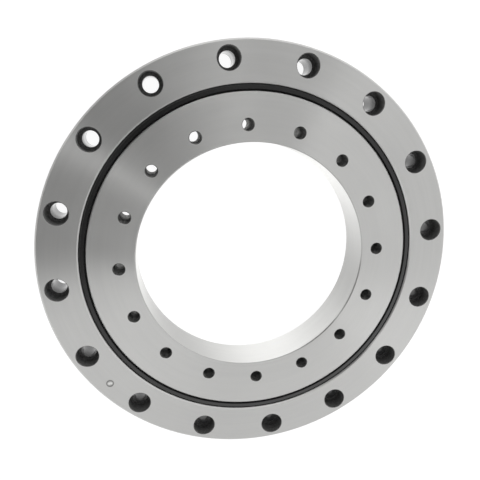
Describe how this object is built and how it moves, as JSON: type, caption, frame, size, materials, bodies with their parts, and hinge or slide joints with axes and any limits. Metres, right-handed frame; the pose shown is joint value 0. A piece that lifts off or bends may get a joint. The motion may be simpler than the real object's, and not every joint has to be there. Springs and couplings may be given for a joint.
{
  "type": "crossed roller bearing",
  "caption": "Crossed roller bearing with one-piece rings that bolt straight to their flanges: counterbored outer ring, tapped inner ring, rubber seal in each face.",
  "frame": {"origin": "centre of the back face, on the bearing's axis", "axes": "+Z along the bearing's axis, out of the counterbored front face; +X through one screw hole of the outer ring"},
  "size_m": [0.38, 0.38, 0.04],
  "materials": {
    "ring_steel": "fine turned and ground bearing steel",
    "plug_steel": "ground bearing steel",
    "pin_steel": "ground steel",
    "seal_rubber": "moulded, satin",
    "spacer_polymer": "moulded polyamide",
    "roller_steel": "fine ground and polished"
  },
  "bodies": {
    "outer_ring": {"outer_ring": "ring_steel", "filling_plug": "plug_steel", "taper_pin": "pin_steel", "seal_upper": "seal_rubber", "seal_lower": "seal_rubber"},
    "inner_ring": {"inner_ring": "ring_steel"},
    "spacer_train": {"roller_spacers": "spacer_polymer"},
    "roller_01": {"roller_01": "roller_steel"},
    "roller_02": {"roller_02": "roller_steel"},
    "roller_03": {"roller_03": "roller_steel"},
    "roller_04": {"roller_04": "roller_steel"},
    "roller_05": {"roller_05": "roller_steel"},
    "roller_06": {"roller_06": "roller_steel"},
    "roller_07": {"roller_07": "roller_steel"},
    "roller_08": {"roller_08": "roller_steel"},
    "roller_09": {"roller_09": "roller_steel"},
    "roller_10": {"roller_10": "roller_steel"},
    "roller_11": {"roller_11": "roller_steel"},
    "roller_12": {"roller_12": "roller_steel"},
    "roller_13": {"roller_13": "roller_steel"},
    "roller_14": {"roller_14": "roller_steel"},
    "roller_15": {"roller_15": "roller_steel"},
    "roller_16": {"roller_16": "roller_steel"},
    "roller_17": {"roller_17": "roller_steel"},
    "roller_18": {"roller_18": "roller_steel"},
    "roller_19": {"roller_19": "roller_steel"},
    "roller_20": {"roller_20": "roller_steel"},
    "roller_21": {"roller_21": "roller_steel"},
    "roller_22": {"roller_22": "roller_steel"},
    "roller_23": {"roller_23": "roller_steel"},
    "roller_24": {"roller_24": "roller_steel"},
    "roller_25": {"roller_25": "roller_steel"},
    "roller_26": {"roller_26": "roller_steel"},
    "roller_27": {"roller_27": "roller_steel"},
    "roller_28": {"roller_28": "roller_steel"},
    "roller_29": {"roller_29": "roller_steel"},
    "roller_30": {"roller_30": "roller_steel"},
    "roller_31": {"roller_31": "roller_steel"},
    "roller_32": {"roller_32": "roller_steel"},
    "roller_33": {"roller_33": "roller_steel"},
    "roller_34": {"roller_34": "roller_steel"},
    "roller_35": {"roller_35": "roller_steel"},
    "roller_36": {"roller_36": "roller_steel"},
    "roller_37": {"roller_37": "roller_steel"},
    "roller_38": {"roller_38": "roller_steel"},
    "roller_39": {"roller_39": "roller_steel"},
    "roller_40": {"roller_40": "roller_steel"},
    "roller_41": {"roller_41": "roller_steel"},
    "roller_42": {"roller_42": "roller_steel"},
    "roller_43": {"roller_43": "roller_steel"},
    "roller_44": {"roller_44": "roller_steel"},
    "roller_45": {"roller_45": "roller_steel"},
    "roller_46": {"roller_46": "roller_steel"},
    "roller_47": {"roller_47": "roller_steel"},
    "roller_48": {"roller_48": "roller_steel"},
    "roller_49": {"roller_49": "roller_steel"},
    "roller_50": {"roller_50": "roller_steel"},
    "roller_51": {"roller_51": "roller_steel"},
    "roller_52": {"roller_52": "roller_steel"}
  },
  "joints": [
    {"name": "inner_ring_turn", "type": "hinge", "parent": "outer_ring", "child": "inner_ring", "pos_m": [0, 0, 0.02], "axis": [0, 0, 1], "continuous": true},
    {"name": "spacer_train_turn", "type": "hinge", "parent": "outer_ring", "child": "spacer_train", "pos_m": [0, 0, 0.02], "axis": [0, 0, 1], "continuous": true},
    {"name": "roller_01_spin", "type": "hinge", "parent": "spacer_train", "child": "roller_01", "pos_m": [0.14865, 0, 0.02], "axis": [0.7071, 0, 0.7071], "continuous": true},
    {"name": "roller_02_spin", "type": "hinge", "parent": "spacer_train", "child": "roller_02", "pos_m": [0.14757, 0.01792, 0.02], "axis": [-0.702, -0.0852, 0.7071], "continuous": true},
    {"name": "roller_03_spin", "type": "hinge", "parent": "spacer_train", "child": "roller_03", "pos_m": [0.14433, 0.03557, 0.02], "axis": [0.6866, 0.1692, 0.7071], "continuous": true},
    {"name": "roller_04_spin", "type": "hinge", "parent": "spacer_train", "child": "roller_04", "pos_m": [0.13899, 0.05271, 0.02], "axis": [-0.6612, -0.2507, 0.7071], "continuous": true},
    {"name": "roller_05_spin", "type": "hinge", "parent": "spacer_train", "child": "roller_05", "pos_m": [0.13162, 0.06908, 0.02], "axis": [0.6261, 0.3286, 0.7071], "continuous": true},
    {"name": "roller_06_spin", "type": "hinge", "parent": "spacer_train", "child": "roller_06", "pos_m": [0.12234, 0.08444, 0.02], "axis": [-0.5819, -0.4017, 0.7071], "continuous": true},
    {"name": "roller_07_spin", "type": "hinge", "parent": "spacer_train", "child": "roller_07", "pos_m": [0.11127, 0.09857, 0.02], "axis": [0.5293, 0.4689, 0.7071], "continuous": true},
    {"name": "roller_08_spin", "type": "hinge", "parent": "spacer_train", "child": "roller_08", "pos_m": [0.09857, 0.11127, 0.02], "axis": [-0.4689, -0.5293, 0.7071], "continuous": true},
    {"name": "roller_09_spin", "type": "hinge", "parent": "spacer_train", "child": "roller_09", "pos_m": [0.08444, 0.12234, 0.02], "axis": [0.4017, 0.5819, 0.7071], "continuous": true},
    {"name": "roller_10_spin", "type": "hinge", "parent": "spacer_train", "child": "roller_10", "pos_m": [0.06908, 0.13162, 0.02], "axis": [-0.3286, -0.6261, 0.7071], "continuous": true},
    {"name": "roller_11_spin", "type": "hinge", "parent": "spacer_train", "child": "roller_11", "pos_m": [0.05271, 0.13899, 0.02], "axis": [0.2507, 0.6612, 0.7071], "continuous": true},
    {"name": "roller_12_spin", "type": "hinge", "parent": "spacer_train", "child": "roller_12", "pos_m": [0.03557, 0.14433, 0.02], "axis": [-0.1692, -0.6866, 0.7071], "continuous": true},
    {"name": "roller_13_spin", "type": "hinge", "parent": "spacer_train", "child": "roller_13", "pos_m": [0.01792, 0.14757, 0.02], "axis": [0.0852, 0.702, 0.7071], "continuous": true},
    {"name": "roller_14_spin", "type": "hinge", "parent": "spacer_train", "child": "roller_14", "pos_m": [0, 0.14865, 0.02], "axis": [0, -0.7071, 0.7071], "continuous": true},
    {"name": "roller_15_spin", "type": "hinge", "parent": "spacer_train", "child": "roller_15", "pos_m": [-0.01792, 0.14757, 0.02], "axis": [-0.0852, 0.702, 0.7071], "continuous": true},
    {"name": "roller_16_spin", "type": "hinge", "parent": "spacer_train", "child": "roller_16", "pos_m": [-0.03557, 0.14433, 0.02], "axis": [0.1692, -0.6866, 0.7071], "continuous": true},
    {"name": "roller_17_spin", "type": "hinge", "parent": "spacer_train", "child": "roller_17", "pos_m": [-0.05271, 0.13899, 0.02], "axis": [-0.2507, 0.6612, 0.7071], "continuous": true},
    {"name": "roller_18_spin", "type": "hinge", "parent": "spacer_train", "child": "roller_18", "pos_m": [-0.06908, 0.13162, 0.02], "axis": [0.3286, -0.6261, 0.7071], "continuous": true},
    {"name": "roller_19_spin", "type": "hinge", "parent": "spacer_train", "child": "roller_19", "pos_m": [-0.08444, 0.12234, 0.02], "axis": [-0.4017, 0.5819, 0.7071], "continuous": true},
    {"name": "roller_20_spin", "type": "hinge", "parent": "spacer_train", "child": "roller_20", "pos_m": [-0.09857, 0.11127, 0.02], "axis": [0.4689, -0.5293, 0.7071], "continuous": true},
    {"name": "roller_21_spin", "type": "hinge", "parent": "spacer_train", "child": "roller_21", "pos_m": [-0.11127, 0.09857, 0.02], "axis": [-0.5293, 0.4689, 0.7071], "continuous": true},
    {"name": "roller_22_spin", "type": "hinge", "parent": "spacer_train", "child": "roller_22", "pos_m": [-0.12234, 0.08444, 0.02], "axis": [0.5819, -0.4017, 0.7071], "continuous": true},
    {"name": "roller_23_spin", "type": "hinge", "parent": "spacer_train", "child": "roller_23", "pos_m": [-0.13162, 0.06908, 0.02], "axis": [-0.6261, 0.3286, 0.7071], "continuous": true},
    {"name": "roller_24_spin", "type": "hinge", "parent": "spacer_train", "child": "roller_24", "pos_m": [-0.13899, 0.05271, 0.02], "axis": [0.6612, -0.2507, 0.7071], "continuous": true},
    {"name": "roller_25_spin", "type": "hinge", "parent": "spacer_train", "child": "roller_25", "pos_m": [-0.14433, 0.03557, 0.02], "axis": [-0.6866, 0.1692, 0.7071], "continuous": true},
    {"name": "roller_26_spin", "type": "hinge", "parent": "spacer_train", "child": "roller_26", "pos_m": [-0.14757, 0.01792, 0.02], "axis": [0.702, -0.0852, 0.7071], "continuous": true},
    {"name": "roller_27_spin", "type": "hinge", "parent": "spacer_train", "child": "roller_27", "pos_m": [-0.14865, 0, 0.02], "axis": [-0.7071, 0, 0.7071], "continuous": true},
    {"name": "roller_28_spin", "type": "hinge", "parent": "spacer_train", "child": "roller_28", "pos_m": [-0.14757, -0.01792, 0.02], "axis": [0.702, 0.0852, 0.7071], "continuous": true},
    {"name": "roller_29_spin", "type": "hinge", "parent": "spacer_train", "child": "roller_29", "pos_m": [-0.14433, -0.03557, 0.02], "axis": [-0.6866, -0.1692, 0.7071], "continuous": true},
    {"name": "roller_30_spin", "type": "hinge", "parent": "spacer_train", "child": "roller_30", "pos_m": [-0.13899, -0.05271, 0.02], "axis": [0.6612, 0.2507, 0.7071], "continuous": true},
    {"name": "roller_31_spin", "type": "hinge", "parent": "spacer_train", "child": "roller_31", "pos_m": [-0.13162, -0.06908, 0.02], "axis": [-0.6261, -0.3286, 0.7071], "continuous": true},
    {"name": "roller_32_spin", "type": "hinge", "parent": "spacer_train", "child": "roller_32", "pos_m": [-0.12234, -0.08444, 0.02], "axis": [0.5819, 0.4017, 0.7071], "continuous": true},
    {"name": "roller_33_spin", "type": "hinge", "parent": "spacer_train", "child": "roller_33", "pos_m": [-0.11127, -0.09857, 0.02], "axis": [-0.5293, -0.4689, 0.7071], "continuous": true},
    {"name": "roller_34_spin", "type": "hinge", "parent": "spacer_train", "child": "roller_34", "pos_m": [-0.09857, -0.11127, 0.02], "axis": [0.4689, 0.5293, 0.7071], "continuous": true},
    {"name": "roller_35_spin", "type": "hinge", "parent": "spacer_train", "child": "roller_35", "pos_m": [-0.08444, -0.12234, 0.02], "axis": [-0.4017, -0.5819, 0.7071], "continuous": true},
    {"name": "roller_36_spin", "type": "hinge", "parent": "spacer_train", "child": "roller_36", "pos_m": [-0.06908, -0.13162, 0.02], "axis": [0.3286, 0.6261, 0.7071], "continuous": true},
    {"name": "roller_37_spin", "type": "hinge", "parent": "spacer_train", "child": "roller_37", "pos_m": [-0.05271, -0.13899, 0.02], "axis": [-0.2507, -0.6612, 0.7071], "continuous": true},
    {"name": "roller_38_spin", "type": "hinge", "parent": "spacer_train", "child": "roller_38", "pos_m": [-0.03557, -0.14433, 0.02], "axis": [0.1692, 0.6866, 0.7071], "continuous": true},
    {"name": "roller_39_spin", "type": "hinge", "parent": "spacer_train", "child": "roller_39", "pos_m": [-0.01792, -0.14757, 0.02], "axis": [-0.0852, -0.702, 0.7071], "continuous": true},
    {"name": "roller_40_spin", "type": "hinge", "parent": "spacer_train", "child": "roller_40", "pos_m": [0, -0.14865, 0.02], "axis": [0, 0.7071, 0.7071], "continuous": true},
    {"name": "roller_41_spin", "type": "hinge", "parent": "spacer_train", "child": "roller_41", "pos_m": [0.01792, -0.14757, 0.02], "axis": [0.0852, -0.702, 0.7071], "continuous": true},
    {"name": "roller_42_spin", "type": "hinge", "parent": "spacer_train", "child": "roller_42", "pos_m": [0.03557, -0.14433, 0.02], "axis": [-0.1692, 0.6866, 0.7071], "continuous": true},
    {"name": "roller_43_spin", "type": "hinge", "parent": "spacer_train", "child": "roller_43", "pos_m": [0.05271, -0.13899, 0.02], "axis": [0.2507, -0.6612, 0.7071], "continuous": true},
    {"name": "roller_44_spin", "type": "hinge", "parent": "spacer_train", "child": "roller_44", "pos_m": [0.06908, -0.13162, 0.02], "axis": [-0.3286, 0.6261, 0.7071], "continuous": true},
    {"name": "roller_45_spin", "type": "hinge", "parent": "spacer_train", "child": "roller_45", "pos_m": [0.08444, -0.12234, 0.02], "axis": [0.4017, -0.5819, 0.7071], "continuous": true},
    {"name": "roller_46_spin", "type": "hinge", "parent": "spacer_train", "child": "roller_46", "pos_m": [0.09857, -0.11127, 0.02], "axis": [-0.4689, 0.5293, 0.7071], "continuous": true},
    {"name": "roller_47_spin", "type": "hinge", "parent": "spacer_train", "child": "roller_47", "pos_m": [0.11127, -0.09857, 0.02], "axis": [0.5293, -0.4689, 0.7071], "continuous": true},
    {"name": "roller_48_spin", "type": "hinge", "parent": "spacer_train", "child": "roller_48", "pos_m": [0.12234, -0.08444, 0.02], "axis": [-0.5819, 0.4017, 0.7071], "continuous": true},
    {"name": "roller_49_spin", "type": "hinge", "parent": "spacer_train", "child": "roller_49", "pos_m": [0.13162, -0.06908, 0.02], "axis": [0.6261, -0.3286, 0.7071], "continuous": true},
    {"name": "roller_50_spin", "type": "hinge", "parent": "spacer_train", "child": "roller_50", "pos_m": [0.13899, -0.05271, 0.02], "axis": [-0.6612, 0.2507, 0.7071], "continuous": true},
    {"name": "roller_51_spin", "type": "hinge", "parent": "spacer_train", "child": "roller_51", "pos_m": [0.14433, -0.03557, 0.02], "axis": [0.6866, -0.1692, 0.7071], "continuous": true},
    {"name": "roller_52_spin", "type": "hinge", "parent": "spacer_train", "child": "roller_52", "pos_m": [0.14757, -0.01792, 0.02], "axis": [-0.702, 0.0852, 0.7071], "continuous": true}
  ],
  "couplings": [
    {"joint": "spacer_train_turn", "follows": "inner_ring_turn", "ratio": 0.48216},
    {"joint": "roller_01_spin", "follows": "inner_ring_turn", "ratio": -9.8974},
    {"joint": "roller_02_spin", "follows": "inner_ring_turn", "ratio": -9.8974},
    {"joint": "roller_03_spin", "follows": "inner_ring_turn", "ratio": -9.8974},
    {"joint": "roller_04_spin", "follows": "inner_ring_turn", "ratio": -9.8974},
    {"joint": "roller_05_spin", "follows": "inner_ring_turn", "ratio": -9.8974},
    {"joint": "roller_06_spin", "follows": "inner_ring_turn", "ratio": -9.8974},
    {"joint": "roller_07_spin", "follows": "inner_ring_turn", "ratio": -9.8974},
    {"joint": "roller_08_spin", "follows": "inner_ring_turn", "ratio": -9.8974},
    {"joint": "roller_09_spin", "follows": "inner_ring_turn", "ratio": -9.8974},
    {"joint": "roller_10_spin", "follows": "inner_ring_turn", "ratio": -9.8974},
    {"joint": "roller_11_spin", "follows": "inner_ring_turn", "ratio": -9.8974},
    {"joint": "roller_12_spin", "follows": "inner_ring_turn", "ratio": -9.8974},
    {"joint": "roller_13_spin", "follows": "inner_ring_turn", "ratio": -9.8974},
    {"joint": "roller_14_spin", "follows": "inner_ring_turn", "ratio": -9.8974},
    {"joint": "roller_15_spin", "follows": "inner_ring_turn", "ratio": -9.8974},
    {"joint": "roller_16_spin", "follows": "inner_ring_turn", "ratio": -9.8974},
    {"joint": "roller_17_spin", "follows": "inner_ring_turn", "ratio": -9.8974},
    {"joint": "roller_18_spin", "follows": "inner_ring_turn", "ratio": -9.8974},
    {"joint": "roller_19_spin", "follows": "inner_ring_turn", "ratio": -9.8974},
    {"joint": "roller_20_spin", "follows": "inner_ring_turn", "ratio": -9.8974},
    {"joint": "roller_21_spin", "follows": "inner_ring_turn", "ratio": -9.8974},
    {"joint": "roller_22_spin", "follows": "inner_ring_turn", "ratio": -9.8974},
    {"joint": "roller_23_spin", "follows": "inner_ring_turn", "ratio": -9.8974},
    {"joint": "roller_24_spin", "follows": "inner_ring_turn", "ratio": -9.8974},
    {"joint": "roller_25_spin", "follows": "inner_ring_turn", "ratio": -9.8974},
    {"joint": "roller_26_spin", "follows": "inner_ring_turn", "ratio": -9.8974},
    {"joint": "roller_27_spin", "follows": "inner_ring_turn", "ratio": -9.8974},
    {"joint": "roller_28_spin", "follows": "inner_ring_turn", "ratio": -9.8974},
    {"joint": "roller_29_spin", "follows": "inner_ring_turn", "ratio": -9.8974},
    {"joint": "roller_30_spin", "follows": "inner_ring_turn", "ratio": -9.8974},
    {"joint": "roller_31_spin", "follows": "inner_ring_turn", "ratio": -9.8974},
    {"joint": "roller_32_spin", "follows": "inner_ring_turn", "ratio": -9.8974},
    {"joint": "roller_33_spin", "follows": "inner_ring_turn", "ratio": -9.8974},
    {"joint": "roller_34_spin", "follows": "inner_ring_turn", "ratio": -9.8974},
    {"joint": "roller_35_spin", "follows": "inner_ring_turn", "ratio": -9.8974},
    {"joint": "roller_36_spin", "follows": "inner_ring_turn", "ratio": -9.8974},
    {"joint": "roller_37_spin", "follows": "inner_ring_turn", "ratio": -9.8974},
    {"joint": "roller_38_spin", "follows": "inner_ring_turn", "ratio": -9.8974},
    {"joint": "roller_39_spin", "follows": "inner_ring_turn", "ratio": -9.8974},
    {"joint": "roller_40_spin", "follows": "inner_ring_turn", "ratio": -9.8974},
    {"joint": "roller_41_spin", "follows": "inner_ring_turn", "ratio": -9.8974},
    {"joint": "roller_42_spin", "follows": "inner_ring_turn", "ratio": -9.8974},
    {"joint": "roller_43_spin", "follows": "inner_ring_turn", "ratio": -9.8974},
    {"joint": "roller_44_spin", "follows": "inner_ring_turn", "ratio": -9.8974},
    {"joint": "roller_45_spin", "follows": "inner_ring_turn", "ratio": -9.8974},
    {"joint": "roller_46_spin", "follows": "inner_ring_turn", "ratio": -9.8974},
    {"joint": "roller_47_spin", "follows": "inner_ring_turn", "ratio": -9.8974},
    {"joint": "roller_48_spin", "follows": "inner_ring_turn", "ratio": -9.8974},
    {"joint": "roller_49_spin", "follows": "inner_ring_turn", "ratio": -9.8974},
    {"joint": "roller_50_spin", "follows": "inner_ring_turn", "ratio": -9.8974},
    {"joint": "roller_51_spin", "follows": "inner_ring_turn", "ratio": -9.8974},
    {"joint": "roller_52_spin", "follows": "inner_ring_turn", "ratio": -9.8974}
  ]
}
